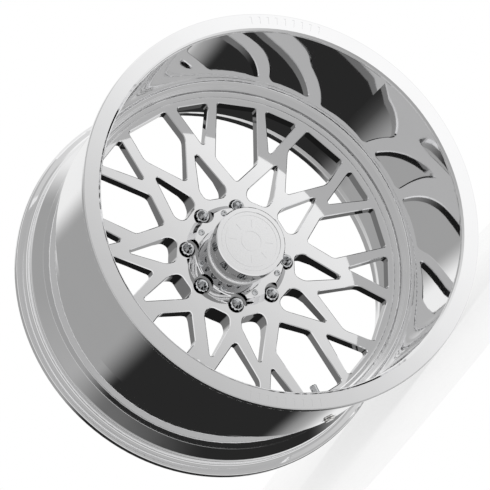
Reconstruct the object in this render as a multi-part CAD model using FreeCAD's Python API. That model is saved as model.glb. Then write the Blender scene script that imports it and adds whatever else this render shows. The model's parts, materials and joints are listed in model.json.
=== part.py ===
import FreeCAD, Part
import math
import os

from FreeCAD import Vector

# Forged truck wheel, 24 x 14 inch, 8 lugs on 165.1 mm, with a very deep polished lip.
# Millimetres. The spin axis is Y and the origin is the wheel's centre. The front looks to -Y, +Z is up.
# Depths are counted backwards (+Y) from the front face of the front flange.
# Angles are counted from +Z towards +X, which is clockwise for someone looking at the front.

# ---- rim sizes ----
BEAD_SEAT_R = 304.8
FLANGE_HEIGHT = 17.5
FLANGE_R = BEAD_SEAT_R + FLANGE_HEIGHT
FLANGE_WIDTH = 13.35
WIDTH = 355.6 + 2 * FLANGE_WIDTH

# ---- forged centre ----
FACE_DEPTH = 225.6
PAD_DEPTH = 271.8
SPOKE_THICKNESS = 19.5
SEAT_R = 284.0
SEAT_DEPTH = 214.2
SEAT_BACK = 248.0
PAD_R = 99.0
HUB_BORE_R = 65.4
CAP_BORE_R = 63.6
CAP_BORE_DEPTH = 240.0
LEDGE_R = 270.2
LEDGE_HEIGHT = 3.0
LEDGE_COVE_R = 5.0
WINDOW_TOP_R = 0.807 * FLANGE_R
WINDOW_CHAMFER = 1.3
FIRST_WINDOW = 54.0
REPEATS = 5

# ---- lugs ----
LUG_COUNT = 8
LUG_PCD = 165.1
FIRST_LUG = 9.0
STUD_HOLE_R = 7.75
LUG_POCKET_R = 13.4
CONE_TOP_R = 12.5
CONE_DEPTH = 248.0
CONE_SLOPE = math.tan(math.radians(30))
NUT_R = 11.0
NUT_FRONT = 219.0
NUT_THREAD_R = 6.6
NUT_HEX = 14.0
NUT_HEX_DEPTH = 15.0
NUT_FLUTES = 10
SEAT_GAP = 0.35

# ---- hub cap ----
CAP_BASE_FRONT = 210.8
CAP_BASE_TOP_R = 76.0
CAP_BASE_FOOT_R = 84.5
SCALLOP_R = 15.5
TOWER_R = 50.0
TOWER_BORE_R = 44.0
HEAD_R = 57.4
HEAD_FRONT = 154.0
HEAD_BACK = 178.0
FACE_PLATE_R = 49.0
CAP_SCREW_CIRCLE_R = 68.9
CAP_SCREW_R = 3.0
CAP_SCREW_HEAD_R = 4.9

# ---- tyre valve, its axis square to the spin axis ----
# It is drawn along -X, where the angle is 270 degrees, and then turned to its own angle.
VALVE_ANGLE = 206.0
VALVE_DEPTH = 188.0
VALVE_HOLE_R = 5.8
VALVE_OUTER_SEAT = 300.0
VALVE_INNER_SEAT = 291.4
STEM_R = 4.0

os.makedirs("parts", exist_ok=True)


# ---- helpers ----
def at_depth(depth):
    """The Y of a depth behind the front flange face."""
    return depth - WIDTH / 2


def polar(radius, angle, depth):
    """A point at a radius, an angle from +Z towards +X, and a depth."""
    a = math.radians(angle)
    return Vector(radius * math.sin(a), at_depth(depth), radius * math.cos(a))


def turned(outline):
    """A solid of revolution about the spin axis from (radius, depth) points.

    A point with two more numbers starts an arc, and those two are the arc's middle."""
    points = [Vector(p[0], at_depth(p[1]), 0) for p in outline]
    edges = []
    for i, here in enumerate(outline):
        start, end = points[i], points[(i + 1) % len(points)]
        if len(here) == 4:
            middle = Vector(here[2], at_depth(here[3]), 0)
            edges.append(Part.Arc(start, middle, end).toShape())
        else:
            edges.append(Part.makeLine(start, end))
    face = Part.Face(Part.Wire(edges))
    return face.revolve(Vector(0, 0, 0), Vector(0, 1, 0), 360)


def rod(radius, front, back, angle=0.0, circle=0.0):
    """A round bar along Y between two depths, on a circle about the spin axis."""
    return Part.makeCylinder(radius, back - front, polar(circle, angle, front), Vector(0, 1, 0))


def cone(front_r, back_r, front, back, angle=0.0, circle=0.0):
    """A cone along Y between two depths, on a circle about the spin axis."""
    return Part.makeCone(front_r, back_r, back - front, polar(circle, angle, front), Vector(0, 1, 0))


def hexagon(across, front, back, angle=0.0, circle=0.0):
    """A hexagonal bar along Y between two depths, on a circle about the spin axis."""
    centre = polar(circle, angle, front)
    corner_r = across / math.sqrt(3)
    corners = []
    for i in range(7):
        turn = math.radians(angle + 60 * i)
        corners.append(centre + Vector(corner_r * math.sin(turn), 0, corner_r * math.cos(turn)))
    return Part.Face(Part.makePolygon(corners)).extrude(Vector(0, back - front, 0))


def spun(shape, angle):
    """A copy turned about the spin axis, clockwise for someone looking at the front."""
    copy = shape.copy()
    copy.rotate(Vector(0, 0, 0), Vector(0, 1, 0), angle)
    return copy


def at_valve(shape):
    """A copy of a shape drawn on the valve's -X axis, turned to the valve's angle."""
    return spun(shape, VALVE_ANGLE - 270.0)


def rounded_wire(corners, radii, depth, grow=0.0):
    """A closed outline at a depth from (radius, angle) corners, each rounded by its own radius, then grown all round."""
    points = [polar(r, a, depth) for r, a in corners]
    count = len(points)
    starts, middles, ends = [], [], []
    for i in range(count):
        here = points[i]
        back = (points[i - 1] - here).normalize()
        ahead = (points[(i + 1) % count] - here).normalize()
        half = back.getAngle(ahead) / 2
        run = radii[i] / math.tan(half)
        centre = here + (back + ahead).normalize() * (radii[i] / math.sin(half))
        size = (radii[i] + grow) / radii[i]
        starts.append(centre + (here + back * run - centre) * size)
        ends.append(centre + (here + ahead * run - centre) * size)
        middles.append(centre + (here - centre).normalize() * (radii[i] + grow))
    edges = []
    for i in range(count):
        edges.append(Part.Arc(starts[i], middles[i], ends[i]).toShape())
        edges.append(Part.makeLine(ends[i], starts[(i + 1) % count]))
    return Part.Wire(edges)


def save(name, shape):
    """Writes one sub-part."""
    shape.exportStep("parts/" + name + ".step")


# ---- rim barrel ----
LIP_FOOT_R = 289.2
LIP_FOOT_DEPTH = 197.4
COVE_R = 5.6
STEP_COUNT = 3
STEP_RISE = 1.45
STEP_RUN = 2.1
STEP_BACK_R = LIP_FOOT_R - COVE_R - STEP_COUNT * STEP_RISE
MARKS = 9
MARK_PITCH = 2.6
MARK_GROUPS = (FIRST_WINDOW, FIRST_WINDOW + 180.0)


def lip_foot():
    """The fine turned steps in front of the centre and the cove that leads from them out to the lip."""
    points = []
    for i in range(STEP_COUNT):
        r = STEP_BACK_R + STEP_RISE * i
        d = LIP_FOOT_DEPTH + COVE_R + STEP_RUN * (STEP_COUNT - 1 - i)
        points.append((r, d + 0.35))
        points.append((r + 0.35, d))
        points.append((r + STEP_RISE, d))
    bend = COVE_R * math.sqrt(0.5)
    start_r, start_d = points.pop()
    points.append((start_r, start_d, start_r + bend, LIP_FOOT_DEPTH + bend))
    points.append((LIP_FOOT_R, LIP_FOOT_DEPTH))
    return points


def rim_barrel():
    lip = [
        (FLANGE_R - 1.6, 0.0, FLANGE_R - 0.47, 0.47),
        (FLANGE_R, 1.6),
        (FLANGE_R, 8.6, FLANGE_R - 1.5, 12.0),
        (FLANGE_R - 4.9, 13.35),
        (311.3, 13.35, 306.7, 15.3),
        (BEAD_SEAT_R, 19.9),
        (BEAD_SEAT_R, 38.0),
        (306.2, 40.6, 306.6, 42.0),
        (306.2, 43.4),
        (303.0, 49.0),
        (301.5, 217.5),
    ]
    well = [
        (291.7, 317.0, 291.4, 319.0),
        (292.2, 321.0),
        (303.9, 344.0),
        (305.6, 345.5, 306.3, 347.0),
        (305.6, 348.5),
        (BEAD_SEAT_R, 350.0),
        (BEAD_SEAT_R, 354.0),
        (BEAD_SEAT_R - 0.7, 354.7),
        (BEAD_SEAT_R - 0.7, 356.3),
        (BEAD_SEAT_R, 357.0),
        (BEAD_SEAT_R, WIDTH - 19.9, 306.7, WIDTH - 15.3),
        (311.3, WIDTH - 13.35),
        (FLANGE_R - 4.9, WIDTH - 13.35, FLANGE_R - 1.5, WIDTH - 12.0),
        (FLANGE_R, WIDTH - 8.6),
        (FLANGE_R, WIDTH - 2.6, FLANGE_R - 0.76, WIDTH - 0.76),
        (FLANGE_R - 2.6, WIDTH),
    ]
    inside = [
        (300.5, WIDTH),
        (298.6, WIDTH - 1.9),
        (297.8, WIDTH - 14.0),
        (291.5, 351.0),
        (283.6, 326.0, 283.0, 322.0),
        (283.0, 318.0),
        (287.0, 300.0),
        (288.0, 270.0),
        (SEAT_R, 258.0),
        (SEAT_R, SEAT_DEPTH),
        (STEP_BACK_R, SEAT_DEPTH),
    ]
    dish = [
        (293.4, 6.4),
        (293.4, 5.2),
        (294.3, 4.4),
        (294.3, 3.4),
        (295.4, 2.7),
        (298.1, 0.0),
    ]
    body = turned(lip + well + inside + lip_foot() + dish)
    cuts = []
    for middle in MARK_GROUPS:
        for i in range(MARKS):
            mark = Part.makeBox(3.4, 1.0, 11.5, Vector(-1.7, at_depth(-0.6), 305.4))
            cuts.append(spun(mark, middle + (i - (MARKS - 1) / 2) * MARK_PITCH))
    for radius, start, end in (
        (VALVE_HOLE_R, -315.0, -285.0),
        (12.0, -VALVE_OUTER_SEAT - 20.0, -VALVE_OUTER_SEAT),
        (9.5, -VALVE_INNER_SEAT, -VALVE_INNER_SEAT + 12.0),
    ):
        spot = Vector(start, at_depth(VALVE_DEPTH), 0)
        cuts.append(at_valve(Part.makeCylinder(radius, end - start, spot, Vector(1, 0, 0))))
    return body.cut(cuts)


# ---- forged centre ----
def window_cutters():
    """Prisms for the four kinds of window; each kind is set out about the axis of a large window."""
    r = FLANGE_R
    top = WINDOW_TOP_R + 1.5
    large = ([(0.391 * r, 0), (0.520 * r, 12.3), (top, 7.4), (top, -7.4), (0.520 * r, -12.3)], [5, 14, 5, 5, 14])
    middle = ([(0.440 * r, 36), (0.652 * r, 47.3), (top, 44.3), (top, 27.7), (0.652 * r, 24.7)], [5, 22, 5, 5, 22])
    fork = ([(0.580 * r, 17.2), (top, 23.5), (top, 10.8)], [3.2, 5, 5])
    drop_corners = [(0.574, 22.9), (0.360, 9.1), (0.309, 9.9), (0.316, 30.1), (0.372, 31.3)]
    drop = ([(q * r, a) for q, a in drop_corners], [3.4, 16, 11.5, 12, 20])
    shapes = [large, middle, fork, drop]
    shapes.append(([(q, -a) for q, a in fork[0]], fork[1]))
    shapes.append(([(q, -a) for q, a in drop[0]], drop[1]))
    prisms, bevels = [], []
    for corners, radii in shapes:
        placed = [(q, a + FIRST_WINDOW) for q, a in corners]
        face = Part.Face(rounded_wire(placed, radii, FACE_DEPTH - 12))
        prism = face.extrude(Vector(0, PAD_DEPTH - FACE_DEPTH + 24, 0))
        bevel = edge_bevel(placed, radii)
        for k in range(REPEATS):
            prisms.append(spun(prism, 360.0 / REPEATS * k))
            bevels.append(spun(bevel, 360.0 / REPEATS * k))
    return prisms, bevels


def edge_bevel(corners, radii):
    """The tapered cutter that leaves a 45 degree bevel along a window's front edge."""
    over = 0.2
    wide = rounded_wire(corners, radii, FACE_DEPTH - over, WINDOW_CHAMFER + over)
    narrow = rounded_wire(corners, radii, FACE_DEPTH + WINDOW_CHAMFER + over, -over)
    return Part.makeLoft([wide, narrow], True, True)


def lug_hole(angle):
    """Pocket, 60 degree cone seat and stud hole of one lug."""
    circle = LUG_PCD / 2
    pocket = rod(LUG_POCKET_R, FACE_DEPTH - 5, CONE_DEPTH, angle, circle)
    cone_end = CONE_DEPTH + (CONE_TOP_R - STUD_HOLE_R) / CONE_SLOPE
    seat = cone(CONE_TOP_R, STUD_HOLE_R, CONE_DEPTH, cone_end, angle, circle)
    stud = rod(STUD_HOLE_R, CONE_DEPTH, PAD_DEPTH + 5, angle, circle)
    return [pocket, seat, stud]


def forged_centre():
    wall_r = STEP_BACK_R - 0.6
    wide_bend = LEDGE_COVE_R * math.sqrt(0.5)
    small_bend = LEDGE_HEIGHT * math.sqrt(0.5)
    ledge = FACE_DEPTH - LEDGE_HEIGHT
    ledge_back_r = LEDGE_R - LEDGE_HEIGHT
    spoke_back = FACE_DEPTH + SPOKE_THICKNESS
    outline = [
        (CAP_BORE_R, FACE_DEPTH),
        (ledge_back_r, FACE_DEPTH, ledge_back_r + small_bend, ledge + small_bend),
        (LEDGE_R, ledge),
        (wall_r - LEDGE_COVE_R, ledge, wall_r - LEDGE_COVE_R + wide_bend, ledge - LEDGE_COVE_R + wide_bend),
        (wall_r, ledge - LEDGE_COVE_R),
        (wall_r, SEAT_DEPTH),
        (SEAT_R, SEAT_DEPTH),
        (SEAT_R, SEAT_BACK),
        (270.0, SEAT_BACK),
        (262.0, spoke_back),
        (180.0, spoke_back),
        (134.0, spoke_back + 4.0),
        (104.0, PAD_DEPTH - 6.0),
        (PAD_R, PAD_DEPTH),
        (HUB_BORE_R, PAD_DEPTH),
        (HUB_BORE_R, CAP_BORE_DEPTH),
        (CAP_BORE_R, CAP_BORE_DEPTH),
    ]
    prisms, bevels = window_cutters()
    body = turned(outline).cut(prisms).cut(bevels)
    holes = []
    for k in range(LUG_COUNT):
        holes += lug_hole(FIRST_LUG + 360.0 / LUG_COUNT * k)
        screw_angle = FIRST_LUG + 360.0 / LUG_COUNT * (k + 0.5)
        holes.append(rod(CAP_SCREW_R, FACE_DEPTH - 1, FACE_DEPTH + 14, screw_angle, CAP_SCREW_CIRCLE_R))
    return body.cut(holes)


def centre_weld():
    """The bead behind the centre that joins it to the barrel."""
    leg = 7.0
    return turned([
        (SEAT_R, SEAT_BACK),
        (SEAT_R - leg, SEAT_BACK, SEAT_R - leg * 0.62, SEAT_BACK + leg * 0.62),
        (SEAT_R, SEAT_BACK + leg),
    ])


# ---- lug nuts ----
def lug_nut(angle):
    """Open ended nut with a fluted skirt, an internal hexagon and a 60 degree seat."""
    circle = LUG_PCD / 2
    seat_front = CONE_DEPTH + (CONE_TOP_R - SEAT_GAP - NUT_R) / CONE_SLOPE
    nose_r = 8.2
    seat_back = seat_front + (NUT_R - nose_r) / CONE_SLOPE
    body = rod(NUT_R, NUT_FRONT + 1.2, seat_front, angle, circle)
    body = body.fuse(cone(NUT_R - 1.2, NUT_R, NUT_FRONT, NUT_FRONT + 1.2, angle, circle))
    body = body.fuse(cone(NUT_R, nose_r, seat_front, seat_back, angle, circle)).removeSplitter()
    cuts = [rod(NUT_THREAD_R, NUT_FRONT, seat_back + 1, angle, circle)]
    cuts.append(hexagon(NUT_HEX, NUT_FRONT - 1, NUT_FRONT + NUT_HEX_DEPTH, angle, circle))
    cuts.append(cone(8.9, 7.0, NUT_FRONT - 0.1, NUT_FRONT + 1.8, angle, circle))
    centre = polar(circle, angle, 0)
    for i in range(NUT_FLUTES):
        turn = math.radians(angle + 360.0 / NUT_FLUTES * i)
        out = NUT_R + 1.1
        spot = Vector(centre.x + out * math.sin(turn), at_depth(NUT_FRONT - 1), centre.z + out * math.cos(turn))
        cuts.append(Part.makeCylinder(2.0, 24, spot, Vector(0, 1, 0)))
    return body.cut(cuts)


# ---- hub cap ----
def cap_base():
    body = turned([
        (TOWER_BORE_R, CAP_BASE_FRONT),
        (CAP_BASE_TOP_R - 1.2, CAP_BASE_FRONT),
        (CAP_BASE_TOP_R, CAP_BASE_FRONT + 1.2),
        (CAP_BASE_FOOT_R, FACE_DEPTH),
        (CAP_BORE_R - 0.3, FACE_DEPTH),
        (CAP_BORE_R - 0.3, FACE_DEPTH + 3.4),
        (CAP_BORE_R - 3.4, FACE_DEPTH + 3.4),
        (CAP_BORE_R - 3.4, FACE_DEPTH + 7.2),
        (CAP_BORE_R - 0.3, FACE_DEPTH + 7.2),
        (CAP_BORE_R - 0.3, FACE_DEPTH + 11.0),
        (CAP_BORE_R - 1.3, FACE_DEPTH + 12.0),
        (TOWER_BORE_R + 6.0, FACE_DEPTH + 12.0),
        (TOWER_BORE_R, FACE_DEPTH),
    ])
    cuts = []
    for k in range(LUG_COUNT):
        angle = FIRST_LUG + 360.0 / LUG_COUNT * k
        cuts.append(rod(SCALLOP_R, CAP_BASE_FRONT - 5, FACE_DEPTH + 1, angle, LUG_PCD / 2))
        screw_angle = angle + 180.0 / LUG_COUNT
        cuts.append(rod(CAP_SCREW_R + 0.3, CAP_BASE_FRONT - 1, FACE_DEPTH + 1, screw_angle, CAP_SCREW_CIRCLE_R))
    return body.cut(cuts)


def cap_o_ring():
    """Rubber ring in the groove of the cap's spigot."""
    ring_r = 1.55
    return Part.makeTorus(CAP_BORE_R - 1.7, ring_r, Vector(0, at_depth(FACE_DEPTH + 5.3), 0), Vector(0, 1, 0))


def cap_tower():
    return turned([
        (TOWER_R, HEAD_BACK),
        (TOWER_R, CAP_BASE_FRONT - 4.0, TOWER_R + 1.1, CAP_BASE_FRONT - 1.1),
        (TOWER_R + 3.4, CAP_BASE_FRONT),
        (TOWER_BORE_R - 0.05, CAP_BASE_FRONT),
        (TOWER_BORE_R - 0.05, CAP_BASE_FRONT + 10.0),
        (TOWER_BORE_R - 4.0, CAP_BASE_FRONT + 10.0),
        (TOWER_BORE_R - 4.0, HEAD_BACK + 12.0),
        (TOWER_BORE_R, HEAD_BACK + 12.0),
        (TOWER_BORE_R, HEAD_BACK),
    ])


def cap_head():
    return turned([
        (0.0, HEAD_FRONT + 3.5),
        (FACE_PLATE_R + 0.15, HEAD_FRONT + 3.5),
        (FACE_PLATE_R + 0.15, HEAD_FRONT + 0.5),
        (FACE_PLATE_R + 0.65, HEAD_FRONT),
        (HEAD_R - 1.5, HEAD_FRONT),
        (HEAD_R, HEAD_FRONT + 1.5),
        (HEAD_R, HEAD_BACK - 1.0),
        (HEAD_R - 1.0, HEAD_BACK),
        (TOWER_BORE_R - 0.05, HEAD_BACK),
        (TOWER_BORE_R - 0.05, HEAD_BACK + 10.0),
        (TOWER_BORE_R - 4.0, HEAD_BACK + 10.0),
        (TOWER_BORE_R - 4.0, HEAD_FRONT + 8.5),
        (0.0, HEAD_FRONT + 8.5),
    ])


def cap_face():
    """Round plate in the head, engraved with plain rings and a ring of ticks."""
    front = HEAD_FRONT + 0.9
    engraved = 0.45
    plate = rod(FACE_PLATE_R, front, HEAD_FRONT + 3.5)
    cuts = []
    for outer, inner in ((43.5, 42.6), (17.0, 16.2)):
        cuts.append(rod(outer, front - 1, front + engraved).cut(rod(inner, front - 2, front + 1)))
    for k in range(LUG_COUNT):
        tick = Part.makeBox(1.4, 1.0 + engraved, 12.0, Vector(-0.7, at_depth(front - 1), 24.0))
        cuts.append(spun(tick, FIRST_LUG + 360.0 / LUG_COUNT * k))
    return plate.cut(cuts)


def cap_screw(angle):
    """Button head screw with a hexagon socket; its shank runs into the centre."""
    head = cone(CAP_SCREW_HEAD_R - 1.4, CAP_SCREW_HEAD_R, CAP_BASE_FRONT - 2.8, CAP_BASE_FRONT - 1.2,
                angle, CAP_SCREW_CIRCLE_R)
    rim = rod(CAP_SCREW_HEAD_R, CAP_BASE_FRONT - 1.2, CAP_BASE_FRONT, angle, CAP_SCREW_CIRCLE_R)
    shank = rod(CAP_SCREW_R - 0.05, CAP_BASE_FRONT, FACE_DEPTH + 12.0, angle, CAP_SCREW_CIRCLE_R)
    socket = hexagon(4.0, CAP_BASE_FRONT - 3.5, CAP_BASE_FRONT - 0.8, angle, CAP_SCREW_CIRCLE_R)
    return head.fuse([rim, shank]).removeSplitter().cut(socket)


# ---- tyre valve ----
def along_x(outline):
    """A solid of revolution about the valve's axis from (x, radius) points."""
    side = at_depth(VALVE_DEPTH)
    corners = [Vector(x, side, r) for x, r in outline]
    face = Part.Face(Part.makePolygon(corners + [corners[0]]))
    return face.revolve(Vector(0, side, 0), Vector(1, 0, 0), 360)


def valve_hex(across, start, end):
    """A hexagonal bar on the valve's axis."""
    side = at_depth(VALVE_DEPTH)
    corner_r = across / math.sqrt(3)
    corners = []
    for i in range(7):
        turn = math.radians(60 * i)
        corners.append(Vector(start, side + corner_r * math.sin(turn), corner_r * math.cos(turn)))
    return Part.Face(Part.makePolygon(corners)).extrude(Vector(end - start, 0, 0))


HEAD_X = -VALVE_OUTER_SEAT - 2.4
NUT_X = -VALVE_INNER_SEAT + 1.2
NUT_END_X = NUT_X + 5.5
NECK_X = -262.0
TIP_X = -250.0
CORE_BACK_X = -274.0
PIN_TRAVEL = 1.5


def valve_stem():
    return along_x([
        (HEAD_X - 3.6, 1.9), (HEAD_X - 3.6, 7.4), (HEAD_X - 2.6, 8.5), (HEAD_X, 8.5), (HEAD_X, STEM_R),
        (NECK_X, STEM_R), (NECK_X, 3.7), (TIP_X - 0.6, 3.7), (TIP_X, 3.1), (TIP_X, 2.5),
        (CORE_BACK_X, 2.5), (CORE_BACK_X, 1.9),
    ])


def valve_grommet():
    return along_x([
        (HEAD_X, STEM_R), (HEAD_X, 8.6), (-VALVE_OUTER_SEAT, 8.6), (-VALVE_OUTER_SEAT, VALVE_HOLE_R - 0.05),
        (-VALVE_INNER_SEAT - 1.4, VALVE_HOLE_R - 0.05), (-VALVE_INNER_SEAT - 1.4, STEM_R),
    ])


def valve_washer():
    start = -VALVE_INNER_SEAT
    return along_x([(start, STEM_R), (start, 7.6), (NUT_X, 7.6), (NUT_X, STEM_R)])


def valve_nut():
    bar = valve_hex(12.0, NUT_X, NUT_END_X)
    trim = along_x([(NUT_X, 0), (NUT_X, 7.4), (NUT_END_X - 1.0, 7.4), (NUT_END_X, 6.2), (NUT_END_X, 0)])
    hole = along_x([(NUT_X - 1, 0), (NUT_X - 1, STEM_R), (NUT_END_X + 1, STEM_R), (NUT_END_X + 1, 0)])
    return bar.common(trim).cut(hole)


def valve_core():
    """Threaded core held in the stem, with a bore for its pin."""
    return along_x([
        (CORE_BACK_X + 4.0, 0.75), (CORE_BACK_X + 4.0, 1.9), (CORE_BACK_X + 7.0, 2.45), (TIP_X - 1.5, 2.45),
        (TIP_X - 1.5, 1.6), (TIP_X - 4.0, 1.6), (TIP_X - 4.0, 0.75),
    ])


def valve_core_pin():
    """Pin with its sealing plunger; pressing its tip opens the valve."""
    back = CORE_BACK_X + 0.3
    return along_x([
        (back, 0.0), (back, 1.4), (back + 1.6, 1.4), (back + 2.0, 0.68), (TIP_X - 1.2, 0.68),
        (TIP_X - 0.8, 0.4), (TIP_X - 0.8, 0.0),
    ])


def valve_cap():
    """Knurled cap over the end of the stem."""
    start, end = NECK_X + 0.4, TIP_X + 6.0
    body = along_x([
        (start, 4.35), (start, 5.3), (start + 0.6, 5.9), (end - 1.4, 5.9), (end, 4.6), (end, 0.0),
        (TIP_X + 2.2, 0.0), (TIP_X + 2.2, 4.35),
    ])
    side = at_depth(VALVE_DEPTH)
    grooves = []
    for i in range(16):
        turn = math.radians(360.0 / 16 * i)
        spot = Vector(start - 1, side + 6.3 * math.sin(turn), 6.3 * math.cos(turn))
        grooves.append(Part.makeCylinder(0.75, end - start - 1.5, spot, Vector(1, 0, 0)))
    return body.cut(grooves)


def valve_cap_seal():
    return along_x([(TIP_X + 0.7, 0.0), (TIP_X + 0.7, 4.3), (TIP_X + 2.2, 4.3), (TIP_X + 2.2, 0.0)])


# ---- all sub-parts ----
save("rim_barrel", rim_barrel())
save("forged_centre", forged_centre())
save("centre_weld", centre_weld())
save("cap_base", cap_base())
save("cap_o_ring", cap_o_ring())
save("cap_tower", cap_tower())
save("cap_head", cap_head())
save("cap_face", cap_face())
for number in range(LUG_COUNT):
    lug_angle = FIRST_LUG + 360.0 / LUG_COUNT * number
    save("lug_nut_%d" % (number + 1), lug_nut(lug_angle))
    save("cap_screw_%d" % (number + 1), cap_screw(lug_angle + 180.0 / LUG_COUNT))
save("valve_stem", at_valve(valve_stem()))
save("valve_grommet", at_valve(valve_grommet()))
save("valve_washer", at_valve(valve_washer()))
save("valve_nut", at_valve(valve_nut()))
save("valve_core", at_valve(valve_core()))
save("valve_core_pin", at_valve(valve_core_pin()))
save("valve_cap", at_valve(valve_cap()))
save("valve_cap_seal", at_valve(valve_cap_seal()))
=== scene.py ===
import json
import math

import bmesh
import bpy
from mathutils import Matrix, Quaternion, Vector


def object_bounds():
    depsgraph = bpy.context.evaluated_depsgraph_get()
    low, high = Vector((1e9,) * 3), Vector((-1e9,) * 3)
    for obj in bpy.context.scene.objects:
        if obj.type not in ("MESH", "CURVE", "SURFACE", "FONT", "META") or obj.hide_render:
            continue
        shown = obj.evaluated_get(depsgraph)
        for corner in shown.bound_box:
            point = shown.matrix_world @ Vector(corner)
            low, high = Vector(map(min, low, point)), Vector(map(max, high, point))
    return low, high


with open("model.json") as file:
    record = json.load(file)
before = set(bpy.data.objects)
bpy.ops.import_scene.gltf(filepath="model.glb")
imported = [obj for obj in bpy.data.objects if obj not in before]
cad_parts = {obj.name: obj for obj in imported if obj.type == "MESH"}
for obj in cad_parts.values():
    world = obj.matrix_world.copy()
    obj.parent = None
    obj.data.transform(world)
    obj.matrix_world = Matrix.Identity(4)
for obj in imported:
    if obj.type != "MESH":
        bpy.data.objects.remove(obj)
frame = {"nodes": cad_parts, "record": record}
cad_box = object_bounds()
nodes = frame["nodes"]


# ---------------------------------------------------------------- node helpers
class Net:
    """Short calls for building a node tree."""

    def __init__(self, tree):
        self.tree = tree
        tree.nodes.clear()

    def add(self, kind, **settings):
        node = self.tree.nodes.new(kind)
        for key, value in settings.items():
            setattr(node, key, value)
        return node

    def put(self, socket, value):
        if isinstance(value, bpy.types.NodeSocket):
            self.tree.links.new(value, socket)
        else:
            socket.default_value = value

    def math(self, operation, a, b=None, c=None, clamp=False):
        node = self.add("ShaderNodeMath", operation=operation, use_clamp=clamp)
        for i, value in enumerate((a, b, c)):
            if value is not None:
                self.put(node.inputs[i], value)
        return node.outputs[0]

    def spread(self, value, low, high, out_low=0.0, out_high=1.0, smooth=True):
        """Maps low..high to out_low..out_high and holds the ends."""
        node = self.add("ShaderNodeMapRange", clamp=True)
        node.interpolation_type = "SMOOTHSTEP" if smooth else "LINEAR"
        for i, v in enumerate((value, low, high, out_low, out_high)):
            self.put(node.inputs[i], v)
        return node.outputs[0]

    def blend(self, factor, a, b):
        node = self.add("ShaderNodeMix", data_type="FLOAT")
        self.put(node.inputs[0], factor)
        self.put(node.inputs[2], a)
        self.put(node.inputs[3], b)
        return node.outputs[0]

    def split(self, vector):
        node = self.add("ShaderNodeSeparateXYZ")
        self.put(node.inputs[0], vector)
        return node.outputs

    def join(self, x, y, z):
        node = self.add("ShaderNodeCombineXYZ")
        for i, value in enumerate((x, y, z)):
            self.put(node.inputs[i], value)
        return node.outputs[0]

    def dot(self, parts, way):
        """The dot product of a split vector with a fixed one."""
        total = self.math("MULTIPLY", parts[0], way[0])
        total = self.math("MULTIPLY_ADD", parts[1], way[1], total)
        return self.math("MULTIPLY_ADD", parts[2], way[2], total)

    def noise(self, vector, scale, detail=3.0, rough=0.55):
        node = self.add("ShaderNodeTexNoise")
        node.inputs["Scale"].default_value = scale
        node.inputs["Detail"].default_value = detail
        node.inputs["Roughness"].default_value = rough
        self.put(node.inputs["Vector"], vector)
        return node.outputs[0]


def lin(v):
    """An 8-bit display value as linear light."""
    c = v / 255.0
    return c / 12.92 if c <= 0.04045 else ((c + 0.055) / 1.055) ** 2.4


# ---------------------------------------------------------------- materials
def start(name):
    material = bpy.data.materials.new(name)
    material.use_nodes = True
    net = Net(material.node_tree)
    shader = net.add("ShaderNodeBsdfPrincipled")
    net.put(net.add("ShaderNodeOutputMaterial").inputs[0], shader.outputs[0])
    place = net.add("ShaderNodeTexCoord").outputs["Object"]
    return material, net, shader, place


def fillet_normal(net, place, fillets):
    """The exact normal on hollow fillets about the spin axis, whose facets are coarse.

    Each fillet is (inner radius, outer radius, front y, back y) and turns from facing -Y to
    facing inwards."""
    x, y, z = net.split(place)
    r = net.math("SQRT", net.math("MULTIPLY_ADD", x, x, net.math("MULTIPLY", z, z)))
    normal = net.add("ShaderNodeNewGeometry").outputs["Normal"]
    for inner, outer, front, back in fillets:
        lean = net.spread(r, inner, outer, smooth=False)
        rest = net.math("SQRT", net.math("SUBTRACT", 1.0, net.math("MULTIPLY", lean, lean)))
        inward = net.math("DIVIDE", net.math("MULTIPLY", lean, -1.0), r)
        exact = net.join(net.math("MULTIPLY", x, inward), net.math("MULTIPLY", rest, -1.0),
                         net.math("MULTIPLY", z, inward))
        here = net.math("MULTIPLY", net.math("GREATER_THAN", r, inner), net.math("LESS_THAN", r, outer))
        here = net.math("MULTIPLY", here, net.math("GREATER_THAN", y, front))
        here = net.math("MULTIPLY", here, net.math("LESS_THAN", y, back))
        choice = net.add("ShaderNodeMix", data_type="VECTOR")
        net.put(choice.inputs[0], here)
        net.put(choice.inputs[4], normal)
        net.put(choice.inputs[5], exact)
        normal = choice.outputs[1]
    return normal


def finish_bump(net, shader, height, normal=None):
    bump = net.add("ShaderNodeBump")
    if normal is not None:
        net.put(bump.inputs["Normal"], normal)
    bump.inputs["Strength"].default_value = 1.0
    bump.inputs["Distance"].default_value = 1.0
    net.put(bump.inputs["Height"], height)
    net.put(shader.inputs["Normal"], bump.outputs[0])


SCRATCH_DEPTH = 0.0000006
SMOOTHEST = 0.012


def scratches(net, place):
    """Hair lines in two directions, 0 almost everywhere and 1 on a line."""
    x, y, z = net.split(place)
    first = net.noise(net.join(net.math("MULTIPLY", x, 30.0), net.math("MULTIPLY", y, 1400.0),
                               net.math("MULTIPLY", z, 90.0)), 1.0, 2.0, 0.5)
    second = net.noise(net.join(net.math("MULTIPLY", x, 1100.0), net.math("MULTIPLY", y, 40.0),
                                net.math("MULTIPLY", z, 60.0)), 1.0, 2.0, 0.5)
    return net.math("MAXIMUM", net.spread(first, 0.69, 0.76), net.spread(second, 0.70, 0.78))


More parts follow.
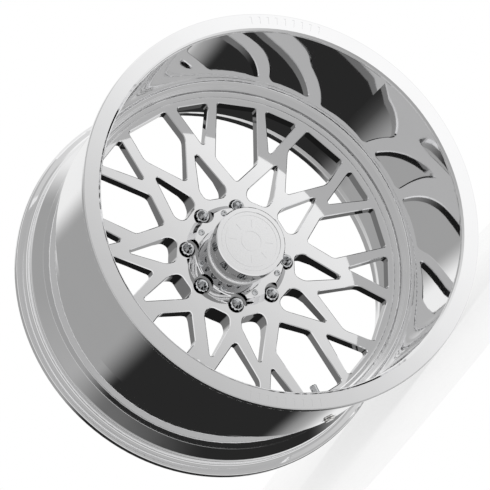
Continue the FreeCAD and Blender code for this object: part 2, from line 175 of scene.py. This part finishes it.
def metal(name, colour, rough, wave=0.0, wave_scale=12.0, turning=0.0, pitch=0.0016, radial=False, worn=0.5,
          painted_wall_reflection=1.0, fillets=()):
    """Bright metal: a mirror with faint waviness, turning lines, hazy patches, hair lines and dust specks.

    wall is how much of the tone is left on faces that run along the spin axis. It isn't a real finish: it
    stands in for the dark flags that such faces would mirror in a studio."""
    material, net, shader, place = start(name)
    shader.inputs["Metallic"].default_value = 1.0
    haze = net.noise(place, 11.0, 4.0, 0.6)
    fine = net.noise(place, 420.0, 3.0, 0.6)
    line = scratches(net, place)
    speck = net.spread(net.noise(place, 900.0, 2.0, 0.5), 0.72, 0.78)

    value = net.math("MULTIPLY_ADD", net.math("SUBTRACT", haze, 0.5), rough * worn * 1.6, rough)
    value = net.math("MULTIPLY_ADD", net.math("SUBTRACT", fine, 0.5), rough * worn, value)
    value = net.math("MULTIPLY_ADD", line, rough * worn * 1.2, value)
    value = net.math("MULTIPLY_ADD", speck, 0.05 * worn, value)
    net.put(shader.inputs["Roughness"], net.math("MAXIMUM", value, SMOOTHEST))

    tone = net.math("MULTIPLY_ADD", net.math("SUBTRACT", haze, 0.5), 0.05, 1.0)
    tone = net.math("MULTIPLY_ADD", speck, -0.08 * worn, tone)
    # Painted dark reflection: faces that run along the spin axis are darkened to stand in for the dark
    # flags they would mirror.
    if painted_wall_reflection < 1.0:
        facing = net.math("ABSOLUTE", net.split(net.add("ShaderNodeNewGeometry").outputs["Normal"])[1])
        tone = net.math("MULTIPLY", tone, net.spread(facing, 0.1, 0.45, painted_wall_reflection, 1.0))
    grey = net.add("ShaderNodeCombineColor")
    for i in range(3):
        net.put(grey.inputs[i], net.math("MULTIPLY", tone, colour[i]))
    net.put(shader.inputs["Base Color"], grey.outputs[0])

    height = net.math("MULTIPLY", net.noise(place, wave_scale, 2.0, 0.5), wave)
    if turning:
        x, y, z = net.split(place)
        r = net.math("SQRT", net.math("MULTIPLY_ADD", x, x, net.math("MULTIPLY", z, z)))
        path = r if radial else net.math("MULTIPLY_ADD", y, 0.83, r)
        wander = net.math("MULTIPLY_ADD", net.noise(place, 60.0, 2.0, 0.5), pitch * 0.7, path)
        cut = net.math("SINE", net.math("MULTIPLY", wander, 2 * math.pi / pitch))
        height = net.math("MULTIPLY_ADD", cut, turning, height)
    height = net.math("MULTIPLY_ADD", line, -SCRATCH_DEPTH * worn, height)
    finish_bump(net, shader, height, fillet_normal(net, place, fillets) if fillets else None)
    return material


def weld(name):
    """Ripples of a weld run, with heat tint and a grainy skin."""
    material, net, shader, place = start(name)
    shader.inputs["Metallic"].default_value = 1.0
    x, y, z = net.split(place)
    around = net.math("ARCTAN2", x, z)
    wobble = net.noise(place, 90.0, 2.0, 0.5)
    ripple = net.math("SINE", net.math("MULTIPLY_ADD", around, 520.0, net.math("MULTIPLY", wobble, 6.0)))
    grain = net.noise(place, 1500.0, 3.0, 0.6)
    tint = net.add("ShaderNodeMix", data_type="RGBA")
    net.put(tint.inputs[0], net.spread(net.noise(place, 25.0, 3.0, 0.6), 0.35, 0.7))
    tint.inputs[6].default_value = (0.70, 0.70, 0.71, 1)
    tint.inputs[7].default_value = (0.52, 0.50, 0.47, 1)
    net.put(shader.inputs["Base Color"], tint.outputs[2])
    net.put(shader.inputs["Roughness"], net.spread(grain, 0.2, 0.8, 0.22, 0.42))
    height = net.math("MULTIPLY", ripple, 0.00016)
    height = net.math("MULTIPLY_ADD", grain, 0.00003, height)
    finish_bump(net, shader, height)
    return material


def rubber(name):
    """Matt black rubber with a fine grain and grey bloom."""
    material, net, shader, place = start(name)
    grain = net.noise(place, 900.0, 4.0, 0.65)
    bloom = net.spread(net.noise(place, 120.0, 3.0, 0.6), 0.45, 0.8)
    tone = net.add("ShaderNodeMix", data_type="RGBA")
    net.put(tone.inputs[0], net.math("MULTIPLY_ADD", bloom, 0.5, net.math("MULTIPLY", grain, 0.4)))
    tone.inputs[6].default_value = (0.010, 0.010, 0.011, 1)
    tone.inputs[7].default_value = (0.050, 0.050, 0.052, 1)
    net.put(shader.inputs["Base Color"], tone.outputs[2])
    net.put(shader.inputs["Roughness"], net.spread(grain, 0.0, 1.0, 0.45, 0.7))
    finish_bump(net, shader, net.math("MULTIPLY", grain, 0.0001))
    return material


BRIGHT = (0.95, 0.95, 0.955)
# Hollow fillets, as fillet_normal takes them: the cove at the lip's foot, then both sides of the ledge.
LIP_FOOT_COVE = (0.2836, 0.2892, 0.0062, 0.0119)
LEDGE_FILLET = (0.2672, 0.2702, 0.0314, 0.0345)
LEDGE_COVE = (0.27365, 0.2787, 0.0262, 0.0315)

# The centre and the cap get a painted dark reflection on their faces that run along the spin axis.
MATERIALS = {
    "polished_barrel": metal("polished_barrel", BRIGHT, 0.03, wave=0.00003, turning=0.0000003,
                             fillets=(LIP_FOOT_COVE,)),
    "polished_centre": metal("polished_centre", BRIGHT, 0.035, wave=0.00002, wave_scale=16.0,
                             painted_wall_reflection=0.42, fillets=(LEDGE_FILLET, LEDGE_COVE)),
    "weld_bead": weld("weld_bead"),
    "polished_cap": metal("polished_cap", BRIGHT, 0.03, turning=0.0000002, pitch=0.0009, painted_wall_reflection=0.45),
    "brushed_plate": metal("brushed_plate", BRIGHT, 0.09, turning=0.0000008, pitch=0.0006,
                           radial=True),
    "chromed_steel": metal("chromed_steel", (0.72, 0.73, 0.74), 0.025),
    "steel": metal("steel", (0.66, 0.67, 0.68), 0.14, worn=0.8),
    "valve_metal": metal("valve_metal", (0.80, 0.79, 0.77), 0.12, turning=0.000001, pitch=0.0005),
    "brass": metal("brass", (0.83, 0.66, 0.34), 0.2, worn=0.8),
    "black_rubber": rubber("black_rubber"),
}
for part in frame["record"]["subparts"]:
    mesh = nodes[part["node"]].data
    mesh.materials.clear()
    mesh.materials.append(MATERIALS[part["material_slot"]])


# ---------------------------------------------------------------- surroundings
# Plain soft studio light: a grey tent round the wheel with a few large soft panels. Angles are in degrees,
# round the wheel from +Z towards +X and out from +Y. Greys are display values from 0 to 255.
TENT_GREY = 160
PANEL_SOFTNESS = 24.0
ALL_ROUND = 200
# name: (middle round the wheel, half its width, nearest to +Y, furthest from +Y, grey)
PANELS = {
    "key_panel": (80, 60, 15, 130, 240),
    "opposite_flag": (220, 60, 0, 85, 40),
    "edge_band": (0, ALL_ROUND, 85, 110, 235),
}
# The front panel is grey at its left end, at this x of a direction, and white at its right end.
FRONT_LEFT, FRONT_RIGHT = 0.40, 0.52
FRONT_GREY = 180
FRONT_NEAR, FRONT_FAR = 115.0, 135.0


def panel_cover(net, turn, polar, middle, half, near, far):
    """1 inside a panel and 0 outside it, with soft edges."""
    soft = PANEL_SOFTNESS / 2
    away = net.math("WRAP", net.math("SUBTRACT", turn, middle), 180.0, -180.0)
    sides = net.spread(net.math("ABSOLUTE", away), half - soft, half + soft, 1.0, 0.0)
    inner = net.spread(polar, near - soft, near + soft)
    outer = net.spread(polar, far - soft, far + soft, 1.0, 0.0)
    return net.math("MULTIPLY", sides, net.math("MULTIPLY", inner, outer))


def surroundings():
    world = bpy.data.worlds.new("studio")
    bpy.context.scene.world = world
    world.use_nodes = True
    net = Net(world.node_tree)
    x, y, z = net.split(net.add("ShaderNodeTexCoord").outputs["Generated"])
    turn = net.math("MULTIPLY", net.math("ARCTAN2", x, z), 180 / math.pi)
    polar = net.math("MULTIPLY", net.math("ARCCOSINE", y), 180 / math.pi)
    value = lin(TENT_GREY)
    for middle, half, near, far, grey in PANELS.values():
        cover = panel_cover(net, turn, polar, middle, half, near, far)
        value = net.blend(cover, value, lin(grey))
    front = net.spread(x, FRONT_LEFT, FRONT_RIGHT, lin(FRONT_GREY), 1.0)
    value = net.blend(net.spread(polar, FRONT_NEAR, FRONT_FAR), value, front)
    path = net.add("ShaderNodeLightPath")
    plain = net.math("MAXIMUM", path.outputs["Is Camera Ray"], path.outputs["Is Diffuse Ray"])
    value = net.blend(plain, value, 1.0)
    background = net.add("ShaderNodeBackground")
    background.inputs["Color"].default_value = (1, 1, 1, 1)
    net.put(background.inputs["Strength"], value)
    net.put(net.add("ShaderNodeOutputWorld").inputs[0], background.outputs[0])


surroundings()


FLOOR_RADIUS = 0.62
FLOOR_GAP = 0.0005
FLOOR_SIDES = 128
FLOOR_GREY = (0.27, 0.29)
FLOOR_GLOW = 0.7


def floor():
    """A plain pale disc just under the wheel."""
    mesh = bpy.data.meshes.new("floor")
    bm = bmesh.new()
    below = Matrix.Translation((0, 0, cad_box[0].z - FLOOR_GAP))
    bmesh.ops.create_circle(bm, cap_ends=True, segments=FLOOR_SIDES, radius=FLOOR_RADIUS, matrix=below)
    bm.to_mesh(mesh)
    bm.free()
    obj = bpy.data.objects.new("floor", mesh)
    bpy.context.scene.collection.objects.link(obj)
    material, net, shader, place = start("floor_paint")
    shade = net.noise(place, 40.0, 3.0, 0.5)
    grey = net.add("ShaderNodeCombineColor")
    for i in range(3):
        net.put(grey.inputs[i], net.spread(shade, 0.3, 0.7, *FLOOR_GREY))
    net.put(shader.inputs["Base Color"], grey.outputs[0])
    shader.inputs["Emission Color"].default_value = (1, 1, 1, 1)
    shader.inputs["Emission Strength"].default_value = FLOOR_GLOW
    shader.inputs["Roughness"].default_value = 0.9
    shader.inputs["Specular IOR Level"].default_value = 0.1
    mesh.materials.append(material)
    obj.visible_glossy = False


floor()


# ---------------------------------------------------------------- camera
SENSOR_WIDTH = 36.0
FOCAL_LENGTH = 252.138
CAMERA_PLACE = (-2.51111, -4.80773, 0.2545)
CAMERA_TURN = (0.564962, 0.67778, 0.131778, -0.451738)


def camera():
    data = bpy.data.cameras.new("camera")
    data.sensor_width = SENSOR_WIDTH
    data.lens = FOCAL_LENGTH
    data.clip_start = 0.1
    data.clip_end = 50.0
    obj = bpy.data.objects.new("camera", data)
    obj.location = CAMERA_PLACE
    obj.rotation_mode = "QUATERNION"
    obj.rotation_quaternion = Quaternion(CAMERA_TURN)
    bpy.context.scene.collection.objects.link(obj)
    bpy.context.scene.camera = obj


camera()
scene = bpy.context.scene
scene.view_settings.view_transform = "Standard"
scene.view_settings.look = "None"
